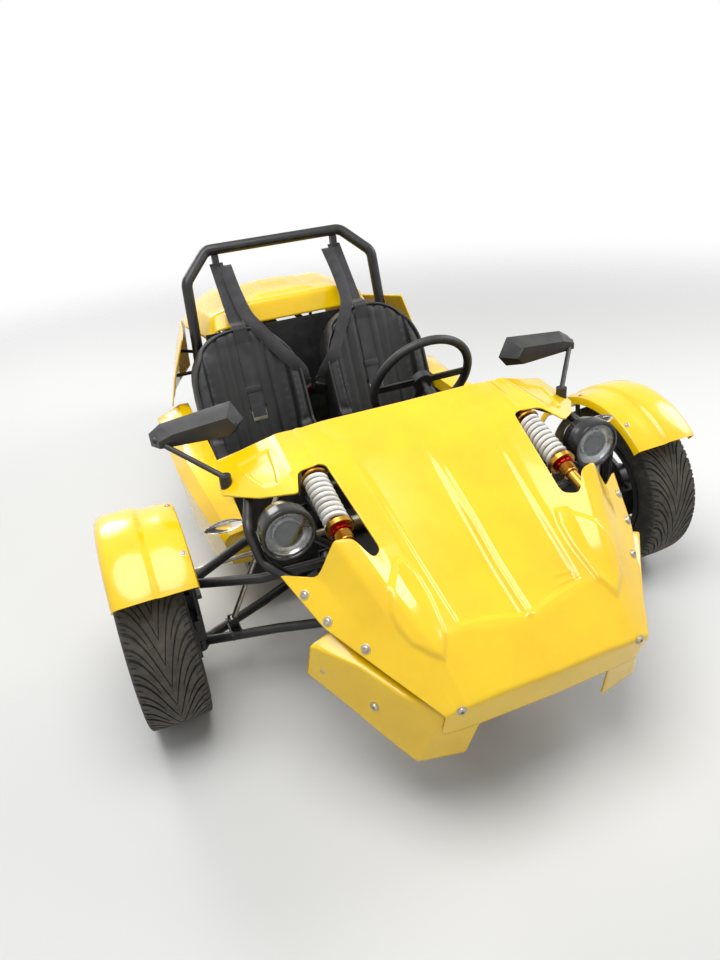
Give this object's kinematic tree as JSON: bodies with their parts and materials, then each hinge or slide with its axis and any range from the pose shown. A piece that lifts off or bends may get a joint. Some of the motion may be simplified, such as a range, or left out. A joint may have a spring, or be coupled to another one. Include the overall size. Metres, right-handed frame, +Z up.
{
  "type": "three-wheeled roadster",
  "caption": "Open two-seat roadster on three wheels, with two steered front wheels under cycle fenders, one driven rear wheel, bucket seats and a roll hoop.",
  "frame": {"origin": "middle of the overall length and width, on the ground", "axes": "+X to the front of the car, +Y to its left, +Z up"},
  "size_m": [2.684, 1.641, 1.0039],
  "materials": {
    "yellow_gelcoat": "gloss yellow gel coat on glass fibre",
    "black_paint": "semi-gloss black paint on steel tube",
    "black_vinyl": "grained black vinyl",
    "tyre_rubber": "worn road tyre",
    "black_plastic": "black moulded plastic",
    "wheel_alloy": "dark painted alloy",
    "spring_white": "white powder coat",
    "damper_metal": "gold anodised damper body",
    "zinc_steel": "zinc plated steel",
    "lamp_glass": "clear lamp glass",
    "belt_webbing": "woven belt webbing",
    "lamp_red": "red lamp glass",
    "tub_black": "black tub",
    "engine_cast": "cast engine"
  },
  "bodies": {
    "chassis": {"chassis_frame": "black_paint", "lamp_hoops": "black_paint", "roll_hoop": "black_paint", "floor_tub": "tub_black", "firewall": "black_plastic", "seat_left": "black_vinyl", "seat_right": "black_vinyl", "hood": "yellow_gelcoat", "front_bumper": "yellow_gelcoat", "side_pods": "yellow_gelcoat", "rear_deck": "yellow_gelcoat", "rear_sides": "yellow_gelcoat", "lower_arms": "black_paint", "upper_arms": "black_paint", "rockers": "black_paint", "pushrods": "zinc_steel", "dampers": "damper_metal", "springs": "spring_white", "rack_housing": "zinc_steel", "steering_column": "black_paint", "lower_shaft": "zinc_steel", "headlamps": "black_plastic", "headlamp_glass": "lamp_glass", "lamp_brackets": "black_paint", "mirror_arms": "black_plastic", "mirror_heads": "black_plastic", "indicators": "lamp_glass", "engine": "engine_cast", "swing_arm": "black_paint", "chain": "zinc_steel", "cockpit_fittings": "black_plastic", "belts": "belt_webbing", "mudguard": "black_plastic", "tail_lamps": "lamp_red"},
    "knuckle_left": {"knuckle_left": "black_paint", "fender_left": "yellow_gelcoat"},
    "knuckle_right": {"knuckle_right": "black_paint", "fender_right": "yellow_gelcoat"},
    "front_wheel_left": {"tyre_front_left": "tyre_rubber", "rim_front_left": "wheel_alloy"},
    "front_wheel_right": {"tyre_front_right": "tyre_rubber", "rim_front_right": "wheel_alloy"},
    "rear_wheel": {"tyre_rear": "tyre_rubber", "rim_rear": "wheel_alloy"},
    "steering_wheel": {"steering_wheel": "black_plastic"},
    "steering_rack": {"steering_rack": "zinc_steel"}
  },
  "joints": [
    {"name": "steering_wheel_turn", "type": "hinge", "parent": "chassis", "child": "steering_wheel", "pos_m": [0.281, 0.235, 0.6], "axis": [-0.9063, 0, 0.4226], "range_deg": [-150, 150]},
    {"name": "rack_slide", "type": "slide", "parent": "chassis", "child": "steering_rack", "axis": [0, -1, 0], "range_m": [-0.0465, 0.0465]},
    {"name": "steer_left", "type": "hinge", "parent": "chassis", "child": "knuckle_left", "pos_m": [0.641, 0.64, 0.256], "axis": [0, 0, 1], "range_deg": [-25, 25]},
    {"name": "steer_right", "type": "hinge", "parent": "chassis", "child": "knuckle_right", "pos_m": [0.641, -0.64, 0.256], "axis": [0, 0, 1], "range_deg": [-25, 25]},
    {"name": "front_wheel_left_spin", "type": "hinge", "parent": "knuckle_left", "child": "front_wheel_left", "pos_m": [0.641, 0.738, 0.256], "axis": [0, 1, 0], "continuous": true},
    {"name": "front_wheel_right_spin", "type": "hinge", "parent": "knuckle_right", "child": "front_wheel_right", "pos_m": [0.641, -0.738, 0.256], "axis": [0, 1, 0], "continuous": true},
    {"name": "rear_wheel_spin", "type": "hinge", "parent": "chassis", "child": "rear_wheel", "pos_m": [-1.049, 0, 0.293], "axis": [0, 1, 0], "continuous": true}
  ],
  "couplings": [
    {"joint": "rack_slide", "follows": "steering_wheel_turn", "m_per_rad": 0.017762},
    {"joint": "steer_left", "follows": "steering_wheel_turn", "ratio": 0.16667},
    {"joint": "steer_right", "follows": "steering_wheel_turn", "ratio": 0.16667}
  ]
}
